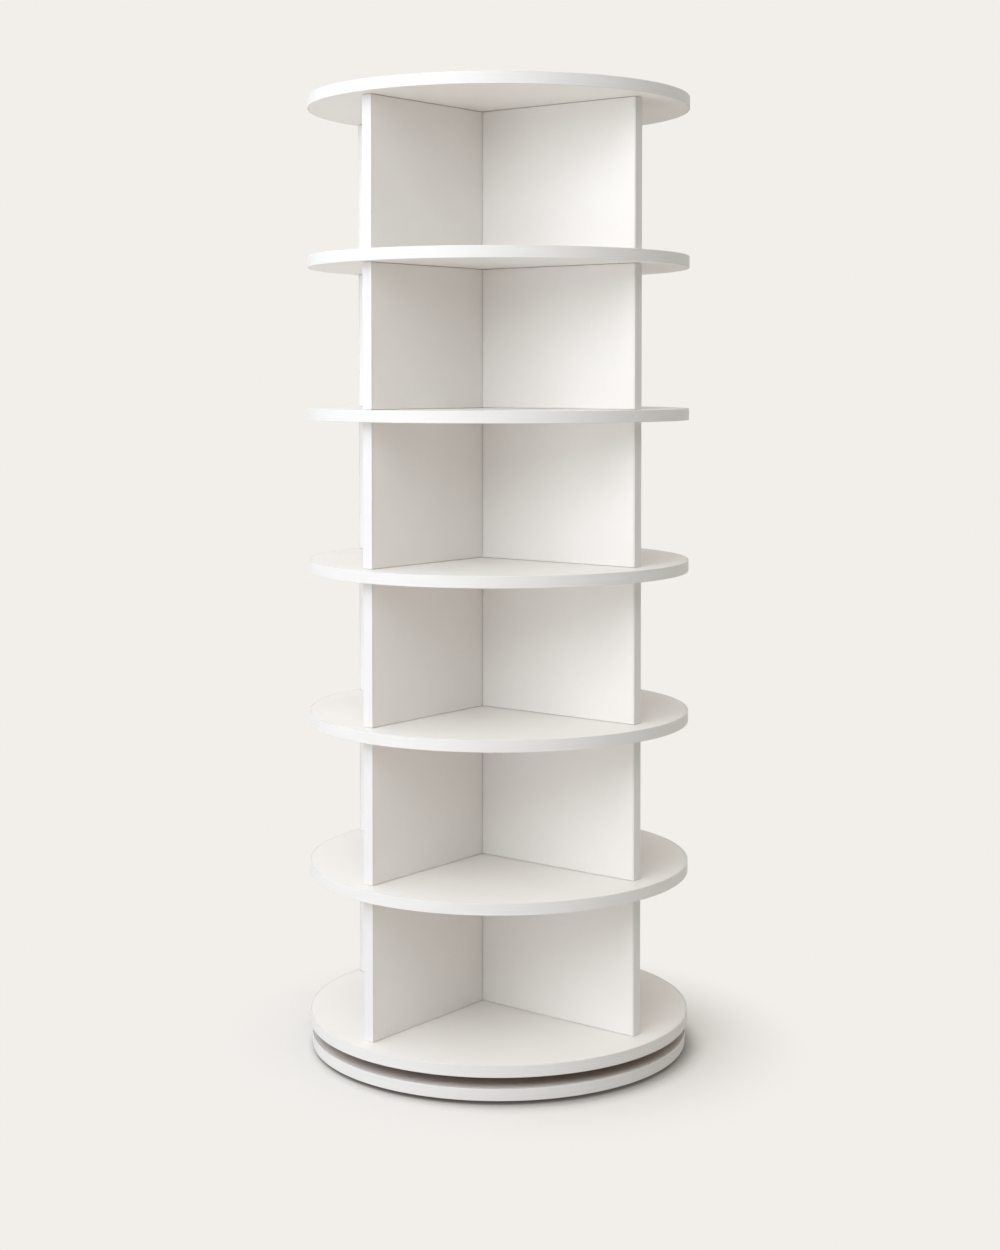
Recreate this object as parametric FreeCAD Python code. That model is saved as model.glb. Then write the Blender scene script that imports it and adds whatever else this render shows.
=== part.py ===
import FreeCAD, Part
import math
import os

# A rotating shoe tower, in millimetres, with +Z up and its origin on the floor under the
# turning axis. Seven round shelves of white melamine-faced board are held apart by six tiers
# of crossed dividers. The tower turns on a ring of rollers that lies on a round base board.

# Boards
board_thickness = 15.0
shelf_diameter = 500.0
base_diameter = 494.0

# Tiers, counted from the bottom: the top one is a little taller than the others
tier_count = 6
tier_height = 183.0
top_tier_height = 191.5

# The cross of dividers. It is drawn with its long board along X and is then turned about Z.
cross_turn = -38.1
long_front_reach = 222.0
long_rear_reach = 241.5
short_reach = 227.5
short_stagger = 28.8

# Connecting bolts, one for each arm of the cross at every shelf, and the cams that hold them
bolt_diameter = 6.0
bolt_reach = 150.0
bolt_thread_length = 30.0
panel_thread_length = 11.0
cam_diameter = 15.0
cam_depth = 12.5
cam_below_edge = 24.0
bolt_past_cam = 3.0

# Screws that hold the lowest dividers from under the bottom shelf
screw_length = 50.0
screw_head_diameter = 10.0
screw_head_height = 4.0

# Dowels between the short dividers and the long one
dowel_diameter = 8.0
dowel_length = 30.0
dowel_in_long = 10.0

# Turntable
turntable_height = 14.5
track_inner_diameter = 276.0
track_width = 34.0
track_thickness = 2.0
flange_thickness = 2.0
roller_count = 8
roller_length = 16.0
cage_thickness = 5.0
cage_width = 26.0
running_clearance = 0.08
window_clearance = 0.3
track_screw_count = 3
track_screw_diameter = 4.0
track_screw_depth = 11.0
track_screw_inset = 4.0

# Pads under the base
glide_count = 6
glide_diameter = 30.0
glide_height = 5.0
glide_inset = 30.0

# Small round fittings that come in dozens are drawn as prisms, as wide across their flats as
# the round ones are across, and so are the holes that they fill.
fitting_sides = 6
glide_sides = 12

Z_AXIS = FreeCAD.Vector(0, 0, 1)
half_board = board_thickness / 2

base_bottom = glide_height
base_top = base_bottom + board_thickness
shelf_bottoms = [base_top + turntable_height]
for tier in range(1, tier_count + 1):
    clear_height = top_tier_height if tier == tier_count else tier_height
    shelf_bottoms.append(shelf_bottoms[-1] + board_thickness + clear_height)
top_panel_index = tier_count

track_inner_radius = track_inner_diameter / 2
track_outer_radius = track_inner_radius + track_width
track_screw_radius = track_outer_radius - track_screw_inset
roller_ring_radius = track_inner_radius + track_width / 2
roller_space = turntable_height - 2 * track_thickness
roller_radius = roller_space / 2 - running_clearance
turntable_middle = base_top + turntable_height / 2
upper_track_bottom = shelf_bottoms[0] - track_thickness


def vector(x, y, z):
    return FreeCAD.Vector(x, y, z)


def disc(diameter, bottom):
    """A round board, with its lower face at the given height."""
    return Part.makeCylinder(diameter / 2, board_thickness, vector(0, 0, bottom))


def ring(inner_radius, outer_radius, bottom, height):
    """A flat ring about the turning axis."""
    outer = Part.makeCylinder(outer_radius, height, vector(0, 0, bottom))
    return outer.cut(Part.makeCylinder(inner_radius, height, vector(0, 0, bottom)))


def prism(width, start, end, sides=fitting_sides):
    """A straight prism between two points, with a regular section of the given width across flats."""
    corner_radius = width / 2 / math.cos(math.pi / sides)
    corners = []
    for side in range(sides + 1):
        turn = 2 * math.pi * (side + 0.5) / sides
        corners.append(vector(corner_radius * math.cos(turn), corner_radius * math.sin(turn), 0))
    along = end - start
    body = Part.Face(Part.makePolygon(corners)).extrude(vector(0, 0, along.Length))
    body.Placement = FreeCAD.Placement(start, FreeCAD.Rotation(Z_AXIS, along))
    return body


def around(count, radius, first_turn=0.0):
    """Points evenly spaced on a circle about the turning axis, each with its angle in degrees."""
    places = []
    for step in range(count):
        turn = first_turn + 360 * step / count
        across = radius * math.cos(math.radians(turn))
        away = radius * math.sin(math.radians(turn))
        places.append((vector(across, away, 0), turn))
    return places


def opposite(point):
    """The same place on the other side of the turning axis."""
    return vector(-point.x, -point.y, point.z)


def at_height(point, height):
    return vector(point.x, point.y, height)


def arm_places():
    """Where the bolts stand: for each arm, its bolt and the side that its cam is let in from."""
    long_front = (vector(bolt_reach, 0, 0), vector(0, 1, 0))
    short_front = (vector(-short_stagger, -bolt_reach, 0), vector(-1, 0, 0))
    places = {"long": [long_front], "front": [short_front]}
    places["long"].append(tuple(opposite(part) for part in long_front))
    places["rear"] = [tuple(opposite(part) for part in short_front)]
    return places


ARMS = arm_places()
BOLT_POINTS = [point for arm in ARMS.values() for point, side in arm]


def tier_bottom(tier):
    return shelf_bottoms[tier - 1] + board_thickness


def tier_top(tier):
    return shelf_bottoms[tier]


# Fittings, each drawn once for its solid and again for the hole that it fills

def bolt_at(point, shelf):
    """The bolt that hangs from a shelf into the cam below and is threaded into what is above."""
    lower_end = shelf_bottoms[shelf] - cam_below_edge - bolt_past_cam
    if shelf == top_panel_index:
        upper_end = shelf_bottoms[shelf] + panel_thread_length
    else:
        upper_end = shelf_bottoms[shelf] + board_thickness + bolt_thread_length
    return prism(bolt_diameter, at_height(point, lower_end), at_height(point, upper_end))


def shelf_screw_at(point):
    """A countersunk screw, up through the bottom shelf into the edge of a divider."""
    bottom = shelf_bottoms[0]
    shank = prism(bolt_diameter, at_height(point, bottom), at_height(point, bottom + screw_length))
    neck = at_height(point, bottom + screw_head_height)
    return shank.fuse(prism(screw_head_diameter, at_height(point, bottom), neck))


def fitting_below(point, tier):
    """What holds a divider's lower edge at this point."""
    return shelf_screw_at(point) if tier == 1 else bolt_at(point, tier - 1)


def cam_space(point, side, tier):
    """The pocket of a cam, let into a face of a divider just under its top edge."""
    centre = at_height(point, tier_top(tier) - cam_below_edge)
    face = centre + side * half_board
    return prism(cam_diameter, face, face - side * cam_depth)


def dowel_at(front, tier):
    """The dowel in the butt joint of a short divider, halfway up its tier."""
    middle = (tier_bottom(tier) + tier_top(tier)) / 2
    inner = vector(-short_stagger, dowel_in_long - half_board, middle)
    outer = vector(-short_stagger, dowel_in_long - half_board - dowel_length, middle)
    if not front:
        inner, outer = opposite(inner), opposite(outer)
    return prism(dowel_diameter, inner, outer)


# Boards

def round_board(shelf):
    """One shelf, with the holes of the fittings that pass through it or end in it."""
    board = disc(shelf_diameter, shelf_bottoms[shelf])
    for point in BOLT_POINTS:
        board = board.cut(fitting_below(point, shelf + 1) if shelf < tier_count else bolt_at(point, shelf))
    if shelf == 0:
        for screw in upper_track_screws():
            board = board.cut(screw)
    return board


def base_board():
    board = disc(base_diameter, base_bottom)
    for screw in lower_track_screws():
        board = board.cut(screw)
    return board


def divider_blank(name, tier):
    """A divider before it is drilled."""
    height = tier_top(tier) - tier_bottom(tier)
    short_length = short_reach - half_board
    if name == "long":
        corner = vector(-long_rear_reach, -half_board, tier_bottom(tier))
        return Part.makeBox(long_rear_reach + long_front_reach, board_thickness, height, corner)
    if name == "front":
        corner = vector(-short_stagger - half_board, -short_reach, tier_bottom(tier))
    else:
        corner = vector(short_stagger - half_board, half_board, tier_bottom(tier))
    return Part.makeBox(board_thickness, short_length, height, corner)


def divider(name, tier):
    board = divider_blank(name, tier)
    for point, side in ARMS[name]:
        board = board.cut(fitting_below(point, tier))
        board = board.cut(bolt_at(point, tier))
        board = board.cut(cam_space(point, side, tier))
    for front in (True, False):
        board = board.cut(dowel_at(front, tier))
    return board


# Groups of fittings

def bolts():
    return [bolt_at(point, shelf) for shelf in range(1, tier_count + 1) for point in BOLT_POINTS]


def cams():
    """Each cam is notched where the end of its bolt enters it."""
    group = []
    for tier in range(1, tier_count + 1):
        for arm in ARMS.values():
            for point, side in arm:
                group.append(cam_space(point, side, tier).cut(bolt_at(point, tier)))
    return group


def dowels():
    return [dowel_at(front, tier) for tier in range(1, tier_count + 1) for front in (True, False)]


# Turntable

def lower_track():
    """A flat ring with an upstanding flange inside, which centres the cage and the upper track."""
    flat = ring(track_inner_radius - flange_thickness, track_outer_radius, base_top, track_thickness)
    flange_height = turntable_height - window_clearance
    flange = ring(track_inner_radius - flange_thickness, track_inner_radius, base_top, flange_height)
    track = flat.fuse(flange).removeSplitter()
    for screw in lower_track_screws():
        track = track.cut(screw)
    return track


def upper_track():
    inner_radius = track_inner_radius + running_clearance
    track = ring(inner_radius, track_outer_radius, upper_track_bottom, track_thickness)
    for screw in upper_track_screws():
        track = track.cut(screw)
    return track


def track_screws(exposed, sunk):
    """Screws through a track, from its exposed face into the board that carries it."""
    screws = []
    for place, turn in around(track_screw_count, track_screw_radius):
        screws.append(prism(track_screw_diameter, at_height(place, exposed), at_height(place, sunk)))
    return screws


def lower_track_screws():
    return track_screws(base_top + track_thickness, base_top - track_screw_depth)


def upper_track_screws():
    return track_screws(upper_track_bottom, shelf_bottoms[0] + track_screw_depth)


def rollers():
    """Rollers that lie along the radii of the tracks."""
    group = []
    for place, turn in around(roller_count, roller_ring_radius - roller_length / 2):
        start = at_height(place, turntable_middle)
        outward = vector(place.x, place.y, 0)
        group.append(Part.makeCylinder(roller_radius, roller_length, start, outward))
    return group


def roller_cage():
    """A ring with a window for each roller, which keeps the rollers evenly spaced."""
    inner_radius = track_inner_radius + window_clearance
    bottom = turntable_middle - cage_thickness / 2
    cage = ring(inner_radius, inner_radius + cage_width, bottom, cage_thickness)
    window_length = roller_length + 2 * window_clearance
    window_width = 2 * (roller_radius + window_clearance)
    corner = vector(roller_ring_radius - window_length / 2, -window_width / 2, bottom)
    window = Part.makeBox(window_length, window_width, cage_thickness, corner)
    for place, turn in around(roller_count, roller_ring_radius):
        turned = window.copy()
        turned.rotate(vector(0, 0, 0), Z_AXIS, turn)
        cage = cage.cut(turned)
    return cage


def glides():
    """Pads stuck under the base, near its rim."""
    group = []
    for place, turn in around(glide_count, base_diameter / 2 - glide_inset, 180 / glide_count):
        group.append(prism(glide_diameter, place, at_height(place, glide_height), glide_sides))
    return group


def export(name, solids):
    """Writes one node, turned with the cross of dividers into its place."""
    if not isinstance(solids, list):
        solids = [solids]
    shape = Part.makeCompound(solids) if len(solids) > 1 else solids[0]
    shape.rotate(vector(0, 0, 0), Z_AXIS, cross_turn)
    shape.exportStep(f"parts/{name}.step")


def shelf_name(shelf):
    if shelf == 0:
        return "bottom_shelf"
    if shelf == top_panel_index:
        return "top_panel"
    return f"shelf_{shelf + 1}"


os.makedirs("parts", exist_ok=True)
export("base_board", base_board())
export("base_glides", glides())
export("lower_track", lower_track())
export("lower_track_screws", lower_track_screws())
export("roller_cage", roller_cage())
export("rollers", rollers())
export("upper_track", upper_track())
export("upper_track_screws", upper_track_screws())
for shelf in range(tier_count + 1):
    export(shelf_name(shelf), round_board(shelf))
for tier in range(1, tier_count + 1):
    for name in ARMS:
        export(f"{name}_divider_{tier}", divider(name, tier))
export("shelf_screws", [shelf_screw_at(point) for point in BOLT_POINTS])
export("connecting_bolts", bolts())
export("cams", cams())
export("divider_dowels", dowels())
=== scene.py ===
import math

import bmesh
import bpy
from mathutils import Matrix, Vector


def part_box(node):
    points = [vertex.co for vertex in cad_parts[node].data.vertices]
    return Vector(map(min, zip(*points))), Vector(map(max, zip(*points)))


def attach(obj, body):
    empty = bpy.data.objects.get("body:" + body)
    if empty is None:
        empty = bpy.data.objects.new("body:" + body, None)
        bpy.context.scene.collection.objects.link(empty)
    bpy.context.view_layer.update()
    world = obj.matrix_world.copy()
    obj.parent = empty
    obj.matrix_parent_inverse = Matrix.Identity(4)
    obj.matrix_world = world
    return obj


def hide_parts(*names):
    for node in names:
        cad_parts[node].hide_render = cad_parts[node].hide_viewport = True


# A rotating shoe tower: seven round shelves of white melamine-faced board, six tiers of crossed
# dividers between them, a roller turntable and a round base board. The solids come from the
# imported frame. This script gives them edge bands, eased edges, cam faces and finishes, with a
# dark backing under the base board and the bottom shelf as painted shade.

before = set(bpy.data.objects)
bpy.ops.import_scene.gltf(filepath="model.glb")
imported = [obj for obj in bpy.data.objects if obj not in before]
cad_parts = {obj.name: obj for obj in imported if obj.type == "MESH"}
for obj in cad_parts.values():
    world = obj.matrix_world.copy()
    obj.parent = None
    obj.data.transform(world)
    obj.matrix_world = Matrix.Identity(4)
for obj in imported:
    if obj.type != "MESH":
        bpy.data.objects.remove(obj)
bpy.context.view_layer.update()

MM = 0.001

# Boards and their edge bands. Each band's two ends meet on the rear half of its board, at a
# turn in degrees that moves on by a step from shelf to shelf
SHELF_RADIUS = 250 * MM
BASE_RADIUS = 247 * MM
HALF_BOARD = 7.5 * MM
BAND_THICKNESS = 2 * MM
BAND_ARRIS = 0.5 * MM
BAND_HAIRLINE = 0.3 * MM
BAND_END_GAP = 0.5 * MM
BASE_BAND_TURN = 84
SHELF_BAND_TURN = 70
SHELF_BAND_STEP = 11
ROUND_STEPS = 288
ARRIS_STEPS = 4

# The flat faces of a round board are divided into rings at these shares of its foil's radius. A
# face whose normal is lower than this is on the underside
FACE_RINGS = (0.65, 0.3)
UNDERSIDE_NORMAL = -0.9

# The cross of dividers, drawn with its long board along X and then turned about Z
CROSS_TURN = math.radians(-38.1)
LONG_FRONT_REACH = 222 * MM
LONG_REAR_REACH = 241.5 * MM
SHORT_REACH = 227.5 * MM
SHORT_STAGGER = 28.8 * MM
FACE_ARRIS = 0.3 * MM
JOINT_GAP = 0.7 * MM
FOOT_GAP = 0.45 * MM
JOINT_DEPTH = 2.5 * MM
TIER_COUNT = 6

# Cams that pull the dividers against the shelves
BOLT_REACH = 150 * MM
CAM_BELOW_EDGE = 24 * MM
CAM_RADIUS = 7.3 * MM
CAM_SUNK = 0.3 * MM
CAM_EASE = 0.4 * MM
CROSS_LENGTH = 8.4 * MM
CROSS_WIDTH = 1.8 * MM
CROSS_DEPTH = 1.6 * MM
NOTCH_HALF_WIDTH = 0.7 * MM
NOTCH_LENGTH = 2 * MM
NOTCH_DEPTH = 0.9 * MM
POCKET_RADIUS = 7.6 * MM
POCKET_DEPTH = 2.2 * MM
CAM_STEPS = 48

# How far a drill or a cutter stands out of the face that it sinks into
PAST_FACE = 1 * MM

# Each cam has been turned by up to this many degrees, in a spread with no order to the eye
CAM_SWING = 35
SWING_BY_TIER = 7
SWING_BY_ARM = 3
SWING_BY_METRE = 40

# Pads under the base
PAD_COUNT = 6
PAD_RADIUS = 15 * MM
PAD_HEIGHT = 5 * MM
PAD_REACH = 217 * MM
PAD_ROUNDING = 0.8 * MM
PAD_STEPS = 48

# In the shading, edges sharper than this stay sharp, and large faces count this much, where 50
# is neither more nor less than small ones
SHARP_EDGE = math.radians(50)
FLATS_WEIGHT = 100

# Points of a mesh that are closer than this are one
SAME_POINT = 0.001 * MM

# The Mix node's sockets where it mixes colours. They share their names with those for numbers
MIX_SHARE, MIX_FIRST, MIX_SECOND, MIX_RESULT = 0, 6, 7, 2

SHELF_NODES = ["bottom_shelf", "shelf_2", "shelf_3", "shelf_4", "shelf_5", "shelf_6", "top_panel"]

# Each arm in its own direction: its turn in degrees, where it starts and ends, how far it stands
# to the side, and its cams, each with its reach and the face that it is let in from
ARMS = {
    "long": {"turn": 0, "start": -LONG_REAR_REACH, "end": LONG_FRONT_REACH, "aside": 0,
             "cams": [(BOLT_REACH, 1), (-BOLT_REACH, -1)]},
    "front": {"turn": -90, "start": HALF_BOARD, "end": SHORT_REACH, "aside": -SHORT_STAGGER,
              "cams": [(BOLT_REACH, -1)]},
    "rear": {"turn": 90, "start": HALF_BOARD, "end": SHORT_REACH, "aside": -SHORT_STAGGER,
             "cams": [(BOLT_REACH, -1)]},
}


def from_hex(code):
    """A colour as linear light, from its hex code, by the curve of the sRGB standard."""
    values = [int(code[place:place + 2], 16) / 255 for place in (1, 3, 5)]
    light = [v / 12.92 if v <= 0.04045 else ((v + 0.055) / 1.055) ** 2.4 for v in values]
    return (*light, 1.0)


def add(tree, kind, inputs, **settings):
    """Adds a node with its settings. An input is either a value or another node's output, and it
    goes by its name, or by its number where the node has several of that name."""
    node = tree.nodes.new("ShaderNode" + kind)
    for name, value in settings.items():
        setattr(node, name, value)
    for name, value in inputs.items():
        if isinstance(value, bpy.types.NodeSocket):
            tree.links.new(value, node.inputs[name])
        else:
            node.inputs[name].default_value = value
    return node


def new_finish(name):
    """An empty material with its node tree and the coordinates that ride with the piece."""
    finish = bpy.data.materials.new(name)
    finish.use_nodes = True
    finish.node_tree.nodes.clear()
    tree = finish.node_tree
    place = add(tree, "TexCoord", {}).outputs["Object"]
    return finish, tree, place


def patterns_per_metre(size):
    """The scale of a texture whose pattern is this long, in metres."""
    return 1 / size


# Finishes

def melamine_foil():
    """White melamine foil, pressed hot on to chipboard between steel plates with a fine pearl
    grain: a satin surface, flat and even, with a broad dim sheen and hardly any colour in it.
    The paper under the resin is a little cloudy, with faint fibres 3.5 mm long. The pearl grain
    is 0.4 mm across and is drawn at 2.5 mm, because at its own size it wouldn't show."""
    finish, tree, place = new_finish("white melamine foil, pearl grain")
    cloud = add(tree, "TexNoise", {"Vector": place, "Scale": patterns_per_metre(140 * MM),
                                   "Detail": 3.0, "Roughness": 0.5})
    paper = add(tree, "ValToRGB", {"Fac": cloud.outputs["Fac"]})
    paper.color_ramp.elements[0].position = 0.3
    paper.color_ramp.elements[0].color = from_hex("#F1EEEA")
    paper.color_ramp.elements[1].position = 0.7
    paper.color_ramp.elements[1].color = from_hex("#F5F2EE")
    fibre = add(tree, "TexNoise", {"Vector": place, "Scale": patterns_per_metre(3.5 * MM),
                                   "Detail": 2.0})
    fibre_tone = add(tree, "MapRange", {"Value": fibre.outputs["Fac"], "From Min": 0.3,
                                        "From Max": 0.7, "To Min": 0.985, "To Max": 1.0})
    colour = add(tree, "Mix", {MIX_SHARE: 1.0, MIX_FIRST: paper.outputs["Color"],
                               MIX_SECOND: fibre_tone.outputs["Result"]},
                 data_type="RGBA", blend_type="MULTIPLY")
    press = add(tree, "TexNoise", {"Vector": place, "Scale": patterns_per_metre(45 * MM),
                                   "Detail": 2.0})
    satin = add(tree, "MapRange", {"Value": press.outputs["Fac"], "From Min": 0.3,
                                   "From Max": 0.7, "To Min": 0.4, "To Max": 0.48})
    pearl = add(tree, "TexNoise", {"Vector": place, "Scale": patterns_per_metre(2.5 * MM),
                                   "Detail": 1.0})
    grain = add(tree, "Bump", {"Height": pearl.outputs["Fac"], "Strength": 0.12,
                               "Distance": 0.1 * MM})
    shader = add(tree, "BsdfPrincipled", {"Base Color": colour.outputs[MIX_RESULT],
                                          "Roughness": satin.outputs["Result"],
                                          "Normal": grain.outputs["Normal"], "IOR": 1.52})
    add(tree, "OutputMaterial", {"Surface": shader.outputs["BSDF"]})
    return finish


def painted_shade_backing():
    """A dark brown sheet on the undersides of the base board and the bottom shelf, as painted
    shade: it makes the gap above the base and the line under the base dark and warm. It is drawn
    as kraft paper soaked in resin: matt, a little uneven, with long fibres. They are 0.04 mm wide
    and are drawn at 0.8 mm."""
    finish, tree, place = new_finish("dark backing sheet, painted shade")
    along = add(tree, "Mapping", {"Vector": place, "Scale": (0.12, 1.0, 1.0)})
    fibres = add(tree, "TexNoise", {"Vector": along.outputs["Vector"],
                                    "Scale": patterns_per_metre(0.8 * MM), "Detail": 3.0})
    tone = add(tree, "ValToRGB", {"Fac": fibres.outputs["Fac"]})
    tone.color_ramp.elements[0].position = 0.35
    tone.color_ramp.elements[0].color = from_hex("#8E745B")
    tone.color_ramp.elements[1].position = 0.65
    tone.color_ramp.elements[1].color = from_hex("#A2886F")
    resin = add(tree, "MapRange", {"Value": fibres.outputs["Fac"], "From Min": 0.3,
                                   "From Max": 0.7, "To Min": 0.66, "To Max": 0.78})
    relief = add(tree, "Bump", {"Height": fibres.outputs["Fac"], "Strength": 0.2,
                                "Distance": 0.1 * MM})
    shader = add(tree, "BsdfPrincipled", {"Base Color": tone.outputs["Color"],
                                          "Roughness": resin.outputs["Result"],
                                          "Normal": relief.outputs["Normal"], "IOR": 1.5})
    add(tree, "OutputMaterial", {"Surface": shader.outputs["BSDF"]})
    return finish


def edge_band(name, stretch):
    """White ABS edge band, extruded as a strip, glued on hot, milled and buffed: about as satin
    as the foil and a shade greyer, with faint lines along the strip from the die. The lines are
    0.3 mm apart and are drawn at 1.2 mm. The stretch turns them along the strip."""
    finish, tree, place = new_finish(name)
    along = add(tree, "Mapping", {"Vector": place, "Scale": stretch})
    die = add(tree, "TexNoise", {"Vector": along.outputs["Vector"],
                                 "Scale": patterns_per_metre(1.2 * MM), "Detail": 2.0})
    tone = add(tree, "ValToRGB", {"Fac": die.outputs["Fac"]})
    tone.color_ramp.elements[0].position = 0.35
    tone.color_ramp.elements[0].color = from_hex("#E5E4E2")
    tone.color_ramp.elements[1].position = 0.65
    tone.color_ramp.elements[1].color = from_hex("#E9E8E6")
    buff = add(tree, "TexNoise", {"Vector": place, "Scale": patterns_per_metre(30 * MM),
                                  "Detail": 2.0})
    shine = add(tree, "MapRange", {"Value": buff.outputs["Fac"], "From Min": 0.3,
                                   "From Max": 0.7, "To Min": 0.38, "To Max": 0.48})
    lines = add(tree, "Bump", {"Height": die.outputs["Fac"], "Strength": 0.08,
                               "Distance": 0.1 * MM})
    shader = add(tree, "BsdfPrincipled", {"Base Color": tone.outputs["Color"],
                                          "Roughness": shine.outputs["Result"],
                                          "Normal": lines.outputs["Normal"], "IOR": 1.53})
    add(tree, "OutputMaterial", {"Surface": shader.outputs["BSDF"]})
    return finish


def foam_rubber():
    """Black foam rubber pads, cut from closed-cell sheet: quite matt, with cut cells that make
    small pits, painted darker towards their bottoms as painted shade. The cells are 0.6 mm across
    and are drawn at 1.6 mm."""
    finish, tree, place = new_finish("black foam rubber, cut")
    cells = add(tree, "TexVoronoi", {"Vector": place, "Scale": patterns_per_metre(1.6 * MM)})
    # Painted shade: darkest at the bottom of each pit, lighter up the cell walls
    tone = add(tree, "ValToRGB", {"Fac": cells.outputs["Distance"]})
    tone.color_ramp.elements[0].color = from_hex("#151515")
    tone.color_ramp.elements[1].position = 0.6
    tone.color_ramp.elements[1].color = from_hex("#2B2A29")
    pits = add(tree, "Bump", {"Height": cells.outputs["Distance"], "Strength": 0.6,
                              "Distance": 0.4 * MM})
    shader = add(tree, "BsdfPrincipled", {"Base Color": tone.outputs["Color"],
                                          "Roughness": 0.92,
                                          "Normal": pits.outputs["Normal"], "IOR": 1.5})
    add(tree, "OutputMaterial", {"Surface": shader.outputs["BSDF"]})
    return finish


def plated_metal(name, dark, light, roughness, mark_size, stretch, depth):
    """A metal with a thin plating or a cast skin: grey, with a blurred shine that changes a
    little from place to place, and marks of the given size, drawn out along the stretch."""
    finish, tree, place = new_finish(name)
    along = add(tree, "Mapping", {"Vector": place, "Scale": stretch})
    marks = add(tree, "TexNoise", {"Vector": along.outputs["Vector"],
                                   "Scale": patterns_per_metre(mark_size), "Detail": 3.0})
    tone = add(tree, "ValToRGB", {"Fac": marks.outputs["Fac"]})
    tone.color_ramp.elements[0].position = 0.3
    tone.color_ramp.elements[0].color = from_hex(dark)
    tone.color_ramp.elements[1].position = 0.7
    tone.color_ramp.elements[1].color = from_hex(light)
    shiniest, dullest = roughness - 0.06, roughness + 0.08
    blur = add(tree, "MapRange", {"Value": marks.outputs["Fac"], "From Min": 0.3,
                                  "From Max": 0.7, "To Min": shiniest, "To Max": dullest})
    relief = add(tree, "Bump", {"Height": marks.outputs["Fac"], "Strength": 0.3,
                                "Distance": depth})
    shader = add(tree, "BsdfPrincipled", {"Base Color": tone.outputs["Color"], "Metallic": 1.0,
                                          "Roughness": blur.outputs["Result"],
                                          "Normal": relief.outputs["Normal"]})
    add(tree, "OutputMaterial", {"Surface": shader.outputs["BSDF"]})
    return finish


def moulded_nylon(name, dark, light, roughness):
    """Nylon, injection moulded: milky, a little see-through at thin places, with a dull shine
    and a faint mottling, 12 mm across, where it flowed into the mould."""
    finish, tree, place = new_finish(name)
    flow = add(tree, "TexNoise", {"Vector": place, "Scale": patterns_per_metre(12 * MM),
                                  "Detail": 3.0})
    tone = add(tree, "ValToRGB", {"Fac": flow.outputs["Fac"]})
    tone.color_ramp.elements[0].position = 0.3
    tone.color_ramp.elements[0].color = from_hex(dark)
    tone.color_ramp.elements[1].position = 0.7
    tone.color_ramp.elements[1].color = from_hex(light)
    relief = add(tree, "Bump", {"Height": flow.outputs["Fac"], "Strength": 0.1,
                                "Distance": 0.2 * MM})
    shader = add(tree, "BsdfPrincipled", {"Base Color": tone.outputs["Color"],
                                          "Roughness": roughness,
                                          "Subsurface Weight": 0.1,
                                          "Subsurface Scale": 1 * MM,
                                          "Normal": relief.outputs["Normal"], "IOR": 1.53})
    add(tree, "OutputMaterial", {"Surface": shader.outputs["BSDF"]})
    return finish


def raw_beech():
    """Beech dowels, turned and left raw: pale pinkish brown and matt, with short dark flecks.
    They are 2 mm long and 0.3 mm wide, and are drawn at 4 mm and 0.8 mm."""
    finish, tree, place = new_finish("raw beech, turned")
    along = add(tree, "Mapping", {"Vector": place, "Scale": (1.0, 0.2, 1.0)})
    flecks = add(tree, "TexNoise", {"Vector": along.outputs["Vector"],
                                    "Scale": patterns_per_metre(0.8 * MM), "Detail": 2.0})
    tone = add(tree, "ValToRGB", {"Fac": flecks.outputs["Fac"]})
    tone.color_ramp.elements[0].position = 0.35
    tone.color_ramp.elements[0].color = from_hex("#B98F63")
    tone.color_ramp.elements[1].position = 0.6
    tone.color_ramp.elements[1].color = from_hex("#D3B088")
    grain = add(tree, "Bump", {"Height": flecks.outputs["Fac"], "Strength": 0.3,
                               "Distance": 0.2 * MM})
    shader = add(tree, "BsdfPrincipled", {"Base Color": tone.outputs["Color"],
                                          "Roughness": 0.7,
                                          "Normal": grain.outputs["Normal"], "IOR": 1.5})
    add(tree, "OutputMaterial", {"Surface": shader.outputs["BSDF"]})
    return finish


FOIL = melamine_foil()
# A dark sheet for undersides, which paints shade there
PAINTED_SHADE_BACKING = painted_shade_backing()
RIM_BAND = edge_band("white ABS edge band, round the rims", stretch=(0.02, 0.02, 1.0))
END_BAND = edge_band("white ABS edge band, up the dividers", stretch=(1.0, 1.0, 0.02))
RUBBER = foam_rubber()
BEECH = raw_beech()

# The tracks are bluish from their zinc, the screws a little yellow from the bath that follows it,
# and the cams dull and grainy from the mould. The cage is milky, and the rollers whiter
TRACK_STEEL = plated_metal("zinc-plated steel, pressed", "#A9ACAF", "#BFC2C5", roughness=0.34,
                           mark_size=6 * MM, stretch=(1.0, 1.0, 0.3), depth=0.05 * MM)
SCREW_STEEL = plated_metal("zinc-plated screws, passivated", "#B3AD98", "#C8C3B1", roughness=0.3,
                           mark_size=2 * MM, stretch=(1.0, 1.0, 1.0), depth=0.03 * MM)
CAM_ZINC = plated_metal("zinc cams, die-cast", "#8F9194", "#A5A7AA", roughness=0.48,
                        mark_size=1 * MM, stretch=(1.0, 1.0, 1.0), depth=0.1 * MM)
CAGE_NYLON = moulded_nylon("natural nylon, moulded", "#DAD6C9", "#E4E0D5", roughness=0.42)
ROLLER_NYLON = moulded_nylon("white nylon rollers, moulded", "#E3E2DD", "#ECEBE7",
                             roughness=0.33)


# Meshes

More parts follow.
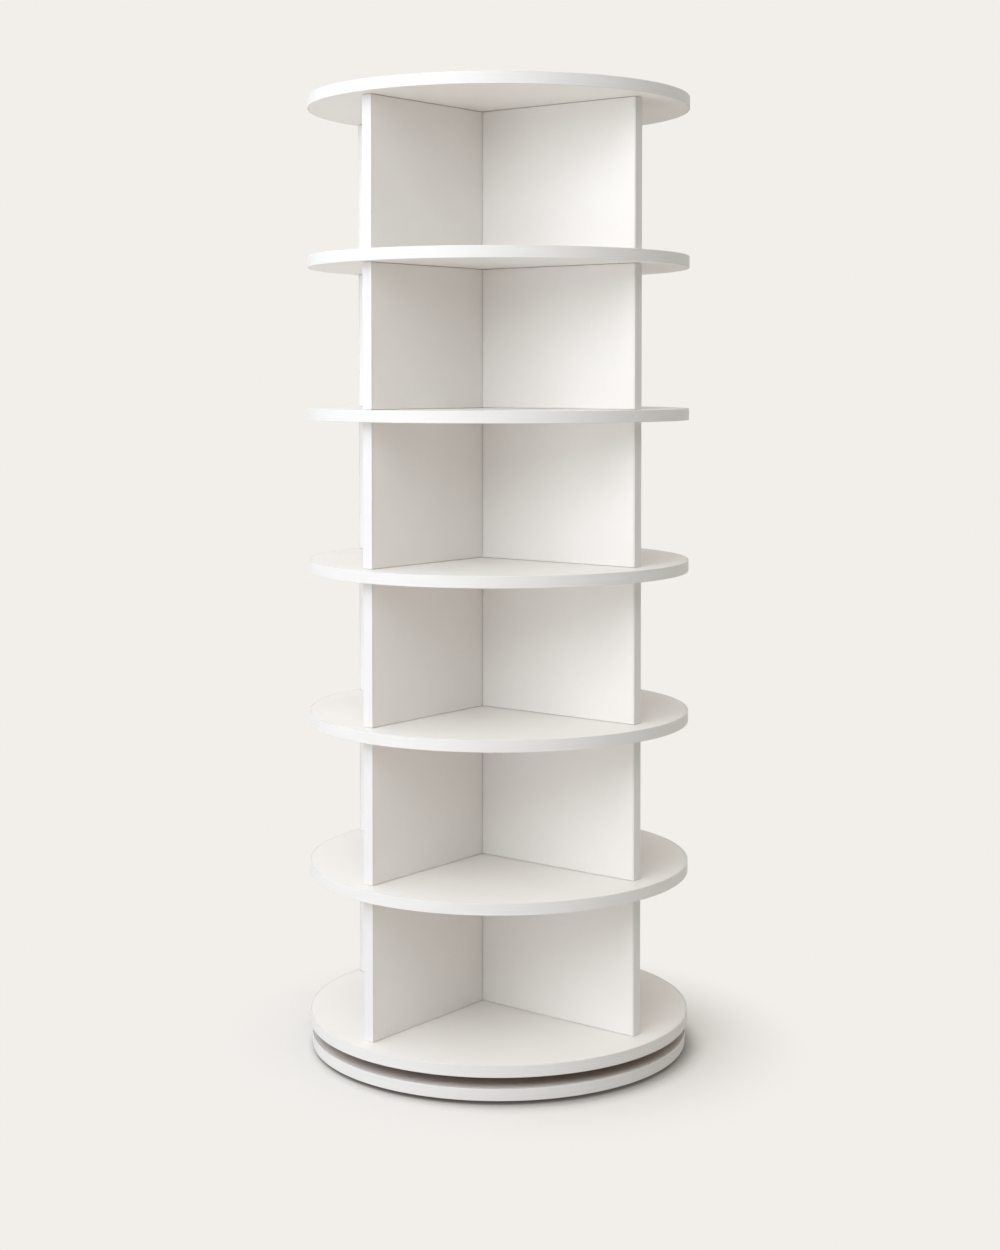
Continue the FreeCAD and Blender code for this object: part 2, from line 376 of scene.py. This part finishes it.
def piece_from(name, mesh, finish, body):
    """A finished piece on its body. Its eased edges shade softly and its flats stay flat."""
    shape = bpy.data.meshes.new(name)
    bmesh.ops.recalc_face_normals(mesh, faces=mesh.faces)
    mesh.to_mesh(shape)
    mesh.free()
    shape.shade_smooth()
    shape.set_sharp_from_angle(angle=SHARP_EDGE)
    shape.materials.append(finish)
    piece = bpy.data.objects.new(name, shape)
    bpy.context.scene.collection.objects.link(piece)
    flats = piece.modifiers.new("flats stay flat", "WEIGHTED_NORMAL")
    flats.weight = FLATS_WEIGHT
    flats.keep_sharp = True
    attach(piece, body)
    return piece


def rounded_corner(across, up, radius, first_turn):
    """Points of a quarter circle about a centre, anticlockwise from a turn in degrees."""
    points = []
    for step in range(ARRIS_STEPS + 1):
        turn = math.radians(first_turn + 90 * step / ARRIS_STEPS)
        points.append((across + radius * math.cos(turn), up + radius * math.sin(turn)))
    return points


def strip_section(glued, front, low, high):
    """The section of an edge band: rounded corners in front, and hairline ones at the foil."""
    section = [(glued, low + BAND_HAIRLINE), (glued + BAND_HAIRLINE, low)]
    section += rounded_corner(front - BAND_ARRIS, low + BAND_ARRIS, BAND_ARRIS, -90)
    section += rounded_corner(front - BAND_ARRIS, high - BAND_ARRIS, BAND_ARRIS, 0)
    section += [(glued + BAND_HAIRLINE, high), (glued, high - BAND_HAIRLINE)]
    return section


def ring_of(mesh, outline, turn, place):
    """The outline of radii and heights, at one turn about the axis of its place."""
    across, away = math.cos(turn), math.sin(turn)
    return [mesh.verts.new(place @ Vector((r * across, r * away, z))) for r, z in outline]


def skin(mesh, here, there, closed):
    """Faces between two sections that follow each other."""
    for spot in range(len(here) if closed else len(here) - 1):
        after = (spot + 1) % len(here)
        mesh.faces.new((here[spot], there[spot], there[after], here[after]))


def turn_solid(mesh, outline, steps, place=Matrix.Identity(4)):
    """Turns an outline that starts and ends on the axis into a round solid."""
    rings = [ring_of(mesh, outline, 2 * math.pi * step / steps, place) for step in range(steps)]
    for step in range(steps):
        skin(mesh, rings[step], rings[(step + 1) % steps], closed=False)
    bmesh.ops.remove_doubles(mesh, verts=mesh.verts, dist=SAME_POINT)


def wrap_strip(mesh, section, first_turn, gap):
    """Wraps a strip round the rim. Its two ends meet with a fine gap."""
    sweep = 2 * math.pi - gap
    rings = []
    for step in range(ROUND_STEPS + 1):
        turn = first_turn + sweep * step / ROUND_STEPS
        rings.append(ring_of(mesh, section, turn, Matrix.Identity(4)))
    for here, there in zip(rings, rings[1:]):
        skin(mesh, here, there, closed=True)
    mesh.faces.new(rings[0])
    mesh.faces.new(rings[-1])


def raise_strip(mesh, section, low, high):
    """Stands a strip of the given section upright."""
    feet = [mesh.verts.new((along, aside, low)) for along, aside in section]
    heads = [mesh.verts.new((along, aside, high)) for along, aside in section]
    skin(mesh, feet, heads, closed=True)
    mesh.faces.new(feet)
    mesh.faces.new(heads)


def cut_away(mesh, tool):
    """What is left of a mesh where a drill or a cutter of the tool's shape has been."""
    parts = []
    for form in (mesh, tool):
        shape = bpy.data.meshes.new("cutting")
        form.to_mesh(shape)
        form.free()
        parts.append(bpy.data.objects.new("cutting", shape))
        bpy.context.scene.collection.objects.link(parts[-1])
    cutting = parts[0].modifiers.new("cutting", "BOOLEAN")
    cutting.object = parts[1]
    cutting.operation = "DIFFERENCE"
    cutting.solver = "EXACT"
    left = bmesh.new()
    left.from_object(parts[0], bpy.context.evaluated_depsgraph_get())
    for part in parts:
        bpy.data.objects.remove(part)
    return left


def block(mesh, low, high):
    """A squared block between two corners."""
    made = bmesh.ops.create_cube(mesh, size=1.0)["verts"]
    bmesh.ops.scale(mesh, vec=high - low, verts=made)
    bmesh.ops.translate(mesh, vec=(low + high) / 2, verts=made)


def heights(node):
    """The lowest and highest point of a node of the frame."""
    low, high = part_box(node)
    return low.z, high.z


def arm_turn(arm):
    """The turn that takes an arm from along X to its own direction."""
    return Matrix.Rotation(CROSS_TURN + math.radians(arm["turn"]), 4, "Z")


def cam_place(arm, reach, face, node):
    """Where a cam is let into a divider, with its own axis pointing out of the face."""
    spot = Vector((reach, arm["aside"] + face * HALF_BOARD, heights(node)[1] - CAM_BELOW_EDGE))
    return Matrix.Translation(spot) @ Matrix.Rotation(-face * math.pi / 2, 4, "X")


# Boards, cams and pads

def round_board(node, radius, body, band_turn, underside=FOIL):
    """A round board: foil on its faces, or on its underside a dark backing that paints shade
    there, and an edge band whose ends meet at a turn in degrees."""
    low, high = heights(node)
    glued = radius - BAND_THICKNESS
    inward = [glued * share for share in FACE_RINGS] + [0]
    outline = [(reach, low) for reach in reversed(inward)]
    outline += [(glued - BAND_HAIRLINE, low), (glued, low + BAND_HAIRLINE)]
    outline += [(glued, high - BAND_HAIRLINE), (glued - BAND_HAIRLINE, high)]
    outline += [(reach, high) for reach in inward]
    mesh = bmesh.new()
    turn_solid(mesh, outline, ROUND_STEPS)
    panel = piece_from(f"{node}_panel", mesh, FOIL, body)
    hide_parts(node)
    if underside is not FOIL:
        panel.data.materials.append(underside)
        for face in panel.data.polygons:
            face.material_index = 1 if face.normal.z < UNDERSIDE_NORMAL else 0
    mesh = bmesh.new()
    section = strip_section(glued, radius, low, high)
    wrap_strip(mesh, section, math.radians(band_turn), BAND_END_GAP / radius)
    piece_from(f"{node}_edge_band", mesh, RIM_BAND, body)


def divider(node, arm):
    """A divider: foil on both faces, and edge bands on its outer ends. Its core reaches its
    neighbours, and its faces stop a hairline short of them, which makes the fine dark joints. The
    joint at its foot is the finest, because the boards above press it shut."""
    low, high = heights(node)
    butts = arm["start"] > 0
    start = arm["start"] + (JOINT_GAP if butts else BAND_THICKNESS)
    end = arm["end"] - BAND_THICKNESS
    left, right = arm["aside"] - HALF_BOARD, arm["aside"] + HALF_BOARD
    mesh = bmesh.new()
    block(mesh, Vector((start, left, low + FOOT_GAP)), Vector((end, right, high - JOINT_GAP)))
    bmesh.ops.bevel(mesh, geom=mesh.edges[:], offset=FACE_ARRIS, segments=2, profile=0.5,
                    affect="EDGES")
    pocket = [(0, -POCKET_DEPTH), (POCKET_RADIUS, -POCKET_DEPTH), (POCKET_RADIUS, PAST_FACE),
              (0, PAST_FACE)]
    for reach, face in arm["cams"]:
        drill = bmesh.new()
        turn_solid(drill, pocket, CAM_STEPS, cam_place(arm, reach, face, node))
        mesh = cut_away(mesh, drill)
    core_start = arm["start"] if butts else start
    block(mesh, Vector((core_start, left + JOINT_DEPTH, low)),
          Vector((end, right - JOINT_DEPTH, high)))
    mesh.transform(arm_turn(arm))
    panel = piece_from(f"{node}_panel", mesh, FOIL, "tower")
    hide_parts(node)
    mesh = bmesh.new()
    section = strip_section(end, arm["end"], left, right)
    raise_strip(mesh, section, low + FOOT_GAP, high - JOINT_GAP)
    if not butts:
        section = strip_section(-start, -arm["start"], left, right)
        section = [(-along, aside) for along, aside in section]
        raise_strip(mesh, section, low + FOOT_GAP, high - JOINT_GAP)
    mesh.transform(arm_turn(arm))
    piece_from(f"{node}_edge_band", mesh, END_BAND, "tower")


def cutter(left, right, near, far, depth):
    """A squared cutter that sinks this deep into a face and stands a little out of it."""
    tool = bmesh.new()
    block(tool, Vector((left, near, -depth)), Vector((right, far, PAST_FACE)))
    return tool


def one_cam():
    """The face of a cam: a turned drum with an eased rim, a cross recess for the driver and a
    notch that shows which way it locks."""
    drum = bmesh.new()
    outline = [(0, -POCKET_DEPTH), (CAM_RADIUS, -POCKET_DEPTH), (CAM_RADIUS, -CAM_SUNK - CAM_EASE),
               (CAM_RADIUS - CAM_EASE, -CAM_SUNK), (0, -CAM_SUNK)]
    turn_solid(drum, outline, CAM_STEPS)
    for length, width in ((CROSS_LENGTH, CROSS_WIDTH), (CROSS_WIDTH, CROSS_LENGTH)):
        recess = cutter(-length / 2, length / 2, -width / 2, width / 2, CROSS_DEPTH)
        drum = cut_away(drum, recess)
    notch = cutter(-NOTCH_HALF_WIDTH, NOTCH_HALF_WIDTH, CAM_RADIUS - NOTCH_LENGTH,
                   CAM_RADIUS + PAST_FACE, NOTCH_DEPTH)
    drum = cut_away(drum, notch)
    shape = bpy.data.meshes.new("cam")
    drum.to_mesh(shape)
    drum.free()
    return shape


def all_cams():
    """The cams, on the faces that look into the two side bays, each turned a little differently
    by whoever did it up."""
    pattern = one_cam()
    mesh = bmesh.new()
    for tier in range(1, TIER_COUNT + 1):
        for number, (name, arm) in enumerate(ARMS.items()):
            for reach, face in arm["cams"]:
                place = arm_turn(arm) @ cam_place(arm, reach, face, f"{name}_divider_{tier}")
                spread = SWING_BY_TIER * tier + SWING_BY_ARM * number + SWING_BY_METRE * reach
                done_up = math.radians(CAM_SWING * math.sin(spread))
                spin = Matrix.Rotation(done_up, 4, "Z")
                before = len(mesh.verts)
                mesh.from_mesh(pattern)
                bmesh.ops.transform(mesh, matrix=place @ spin, verts=mesh.verts[before:])
    bpy.data.meshes.remove(pattern)
    piece = piece_from("cam_faces", mesh, CAM_ZINC, "tower")
    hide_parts("cams")


def base_pads():
    """Foam rubber pads stuck under the base, with rounded rims."""
    rim, top = PAD_RADIUS - PAD_ROUNDING, PAD_HEIGHT - PAD_ROUNDING
    outline = [(0, 0), (PAD_RADIUS / 2, 0)]
    outline += rounded_corner(rim, PAD_ROUNDING, PAD_ROUNDING, -90)
    outline += rounded_corner(rim, top, PAD_ROUNDING, 0)
    outline += [(PAD_RADIUS / 2, PAD_HEIGHT), (0, PAD_HEIGHT)]
    mesh = bmesh.new()
    for number in range(PAD_COUNT):
        turn = CROSS_TURN + 2 * math.pi * (number + 0.5) / PAD_COUNT
        spot = Vector((PAD_REACH * math.cos(turn), PAD_REACH * math.sin(turn), 0))
        turn_solid(mesh, outline, PAD_STEPS, Matrix.Translation(spot))
    pads = piece_from("base_pads", mesh, RUBBER, "base")
    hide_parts("base_glides")


# The base board's underside gets the dark backing, a painted shade under the base
round_board("base_board", BASE_RADIUS, "base", BASE_BAND_TURN, PAINTED_SHADE_BACKING)
for number, node in enumerate(SHELF_NODES):
    band_turn = SHELF_BAND_TURN + SHELF_BAND_STEP * number
    # The bottom shelf's underside gets the dark backing too, a painted shade in the gap above the
    # base
    underside = PAINTED_SHADE_BACKING if node == "bottom_shelf" else FOIL
    round_board(node, SHELF_RADIUS, "tower", band_turn, underside)
for tier in range(1, TIER_COUNT + 1):
    for name, arm in ARMS.items():
        divider(f"{name}_divider_{tier}", arm)
all_cams()
base_pads()

# The turntable, the screws, the bolts and the dowels keep the shapes of the frame
FITTINGS = {
    "lower_track": TRACK_STEEL, "upper_track": TRACK_STEEL,
    "lower_track_screws": SCREW_STEEL, "upper_track_screws": SCREW_STEEL,
    "shelf_screws": SCREW_STEEL, "connecting_bolts": SCREW_STEEL,
    "roller_cage": CAGE_NYLON, "rollers": ROLLER_NYLON, "divider_dowels": BEECH,
}
for node, finish in FITTINGS.items():
    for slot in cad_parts[node].material_slots:
        slot.material = finish


# Studio, in metres, watts and degrees

BACKDROP = from_hex("#F2EFEB")
FLOOR_BOUNCE = from_hex("#D6D3CF")
FLOOR_RADIUS = 9.0
FLOOR_STEPS = 128

# Between these distances from the axis the floor turns into the backdrop
FADE_START = 0.2
FADE_END = 0.43

# The painted shade at the foot of the tower, which darkens the floor's paint: how far it reaches,
# and where its open side points
SHADE_REACH = 38 * MM
SHADE_LEAN = Vector((-0.6, 0.4, 0.69))

# The room light: its colour, and its strength straight overhead
ROOM_COLOUR = (1.0, 0.955, 0.895, 1.0)
ROOM_STRENGTH = 1.06

LAMP_TARGET = Vector((0, 0, 0.65))
SOFT_BOXES = {
    "front soft box": {"spot": (-0.57, -2.13, 2.2), "size": 1.8, "power": 27.7,
                       "colour": (0.9, 0.94, 1.0)},
    "left soft box": {"spot": (-2.3, -1.93, 1.3), "size": 2.6, "power": 37,
                      "colour": (0.88, 0.94, 1.0)},
    "side soft box": {"spot": (-2.9, 0.78, 2.4), "size": 2.6, "power": 31,
                      "colour": (0.76, 0.86, 1.0)},
}

# The lens and its film width are in millimetres, and the shift is a share of the film's width
LENS = 58.13
FILM_WIDTH = 36
LENS_SHIFT = -0.1374
EYE = (0.0017, -2.6625, 0.8794)
LOOK_DOWN = 2.1


def seen_directly(tree):
    """1 where the camera, a reflection or a clear material looks, and 0 for scattered light."""
    path = add(tree, "LightPath", {}).outputs
    mirror = add(tree, "Math", {0: path["Is Camera Ray"], 1: path["Is Glossy Ray"]},
                 operation="MAXIMUM")
    return add(tree, "Math", {0: mirror.outputs["Value"], 1: path["Is Transmission Ray"]},
               operation="MAXIMUM").outputs["Value"]


def floor():
    """A plain pale floor, painted with a roller: matt, with a stipple so faint that it hardly
    shows. Near the tower it holds the shadow, and further off it turns into the backdrop. Close
    to the foot of the tower its paint is darkened by a painted shade, deeper and warmer, which is
    faint on the left, where most of the light comes from. Scattered light meets a darker floor
    than the one that is seen, so that less of it comes up from there."""
    finish, tree, place = new_finish("pale floor paint, matt")
    far = add(tree, "VectorMath", {0: place}, operation="LENGTH")
    fade = add(tree, "MapRange", {"Value": far.outputs["Value"], "From Min": FADE_START,
                                  "From Max": FADE_END}, interpolation_type="SMOOTHSTEP")
    backdrop = add(tree, "Math", {0: fade.outputs["Result"], 1: seen_directly(tree)},
                   operation="MULTIPLY")
    roller = add(tree, "TexNoise", {"Vector": place, "Scale": patterns_per_metre(4 * MM)})
    paint = add(tree, "ValToRGB", {"Fac": roller.outputs["Fac"]})
    paint.color_ramp.elements[0].position = 0.3
    paint.color_ramp.elements[0].color = from_hex("#E8E6E3")
    paint.color_ramp.elements[1].position = 0.7
    paint.color_ramp.elements[1].color = from_hex("#EAE8E5")
    # Painted shade: ambient occlusion darkens the floor's paint close to the foot of the tower, in
    # a warm tone, leaning so that it is faint on the left
    lean = add(tree, "CombineXYZ", {"X": SHADE_LEAN.x, "Y": SHADE_LEAN.y, "Z": SHADE_LEAN.z})
    close_by = add(tree, "AmbientOcclusion", {"Distance": SHADE_REACH,
                                              "Normal": lean.outputs["Vector"]}, samples=8)
    shade = add(tree, "ValToRGB", {"Fac": close_by.outputs["AO"]})
    shade.color_ramp.elements[0].position = 0.25
    shade.color_ramp.elements[0].color = from_hex("#7E7871")
    shade.color_ramp.elements[1].position = 0.86
    shade.color_ramp.elements[1].color = from_hex("#FFFFFF")
    shaded = add(tree, "Mix", {MIX_SHARE: 1.0, MIX_FIRST: paint.outputs["Color"],
                               MIX_SECOND: shade.outputs["Color"]},
                 data_type="RGBA", blend_type="MULTIPLY")
    camera_ray = add(tree, "LightPath", {}).outputs["Is Camera Ray"]
    colour = add(tree, "Mix", {MIX_SHARE: camera_ray, MIX_FIRST: FLOOR_BOUNCE,
                               MIX_SECOND: shaded.outputs[MIX_RESULT]}, data_type="RGBA")
    matt = add(tree, "BsdfDiffuse", {"Color": colour.outputs[MIX_RESULT]})
    plain = add(tree, "Emission", {"Color": BACKDROP, "Strength": 1.0})
    shader = add(tree, "MixShader", {0: backdrop.outputs["Value"], 1: matt.outputs["BSDF"],
                                     2: plain.outputs["Emission"]})
    add(tree, "OutputMaterial", {"Surface": shader.outputs["Shader"]})
    mesh = bmesh.new()
    bmesh.ops.create_circle(mesh, cap_ends=True, radius=FLOOR_RADIUS, segments=FLOOR_STEPS)
    shape = bpy.data.meshes.new("floor")
    mesh.to_mesh(shape)
    mesh.free()
    shape.materials.append(finish)
    plane = bpy.data.objects.new("floor", shape)
    bpy.context.scene.collection.objects.link(plane)


def room_light():
    """A slightly warm room light that comes from above and dies away towards the horizon. What
    is seen of the room is the backdrop."""
    world = bpy.data.worlds.new("studio")
    world.use_nodes = True
    world.node_tree.nodes.clear()
    tree = world.node_tree
    way = add(tree, "TexCoord", {})
    up = add(tree, "SeparateXYZ", {"Vector": way.outputs["Generated"]})
    height = add(tree, "MapRange", {"Value": up.outputs["Z"], "From Min": 0.0, "From Max": 1.0,
                                    "To Min": 0.0, "To Max": ROOM_STRENGTH})
    room = add(tree, "Background", {"Color": ROOM_COLOUR, "Strength": height.outputs["Result"]})
    plain = add(tree, "Background", {"Color": BACKDROP, "Strength": 1.0})
    shader = add(tree, "MixShader", {0: seen_directly(tree), 1: room.outputs["Background"],
                                     2: plain.outputs["Background"]})
    add(tree, "OutputWorld", {"Surface": shader.outputs["Shader"]})
    bpy.context.scene.world = world


def lamp(name, spot, size, power, colour):
    """A square soft box that faces the middle of the tower."""
    light = bpy.data.lights.new(name, "AREA")
    light.shape = "SQUARE"
    light.size = size
    light.energy = power
    light.color = colour
    box = bpy.data.objects.new(name, light)
    box.location = spot
    box.rotation_euler = (LAMP_TARGET - Vector(spot)).to_track_quat("-Z", "Y").to_euler()
    box.visible_camera = False
    bpy.context.scene.collection.objects.link(box)


def camera():
    """In front, at some two thirds of the tower's height, looking down very slightly."""
    lens = bpy.data.cameras.new("camera")
    lens.lens = LENS
    lens.sensor_width = FILM_WIDTH
    lens.shift_y = LENS_SHIFT
    eye = bpy.data.objects.new("camera", lens)
    eye.location = EYE
    eye.rotation_euler = (math.radians(90 - LOOK_DOWN), 0, 0)
    bpy.context.scene.collection.objects.link(eye)
    bpy.context.scene.camera = eye


floor()
room_light()
for name, box in SOFT_BOXES.items():
    lamp(name, **box)
camera()
bpy.context.scene.view_settings.view_transform = "Standard"
